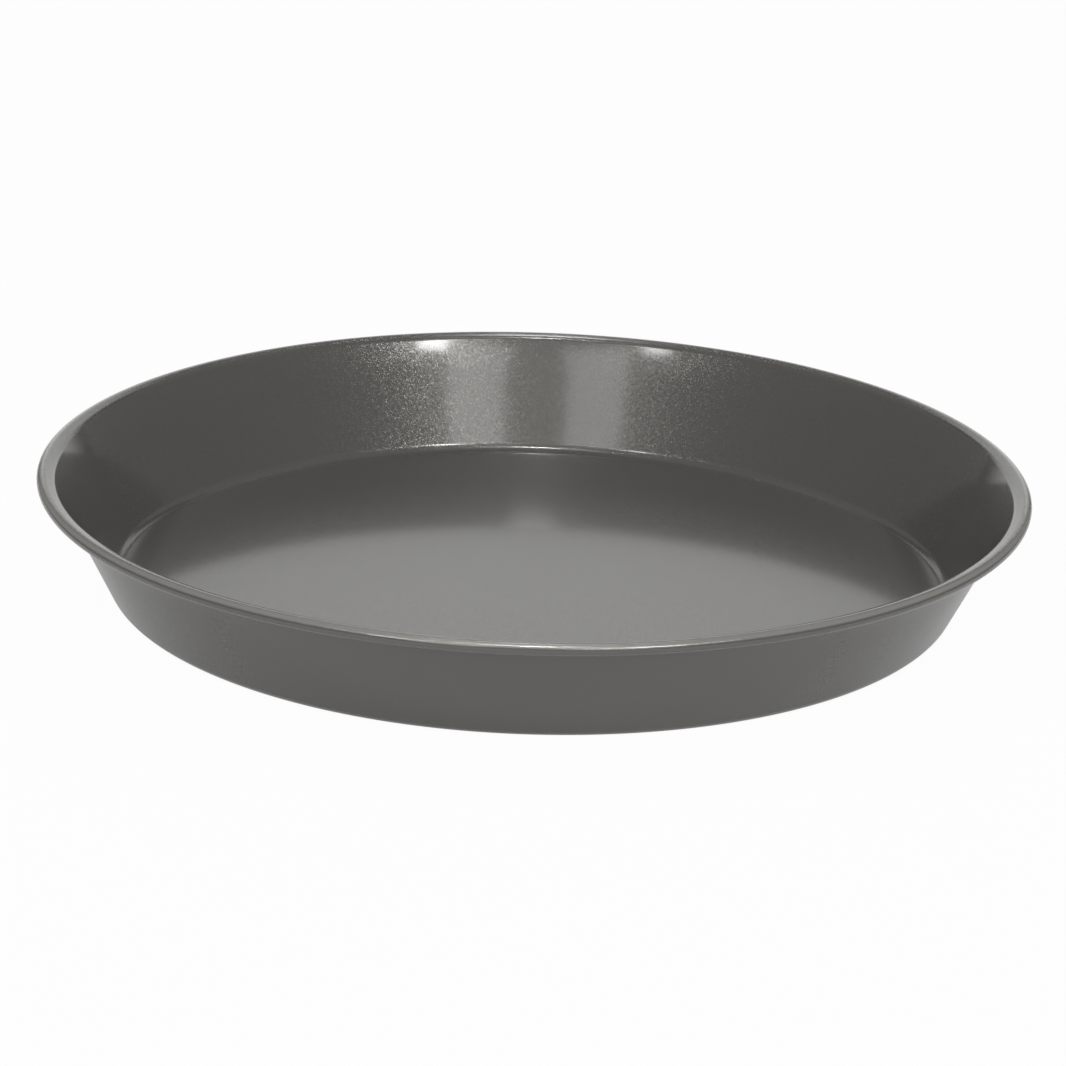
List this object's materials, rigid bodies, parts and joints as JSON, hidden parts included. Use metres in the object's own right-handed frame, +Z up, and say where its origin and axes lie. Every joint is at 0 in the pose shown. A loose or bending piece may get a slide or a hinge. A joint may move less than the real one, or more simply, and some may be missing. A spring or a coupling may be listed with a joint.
{
  "type": "round cake pan",
  "caption": "Round shallow baking pan with a flat floor, a flared wall and a rolled rim, pressed in one piece from dark grey non-stick coated steel.",
  "frame": {"origin": "centre of the flat underside, on the surface that the pan stands on", "axes": "+Z up along the pan's axis of revolution, X and Y in the plane of the underside"},
  "size_m": [0.28, 0.28, 0.0332],
  "materials": {
    "coated_steel": "dark grey metallic non-stick coating, satin gloss with fine flake, the same inside and out"
  },
  "bodies": {
    "root": {"pan_body": "coated_steel"}
  },
  "joints": []
}
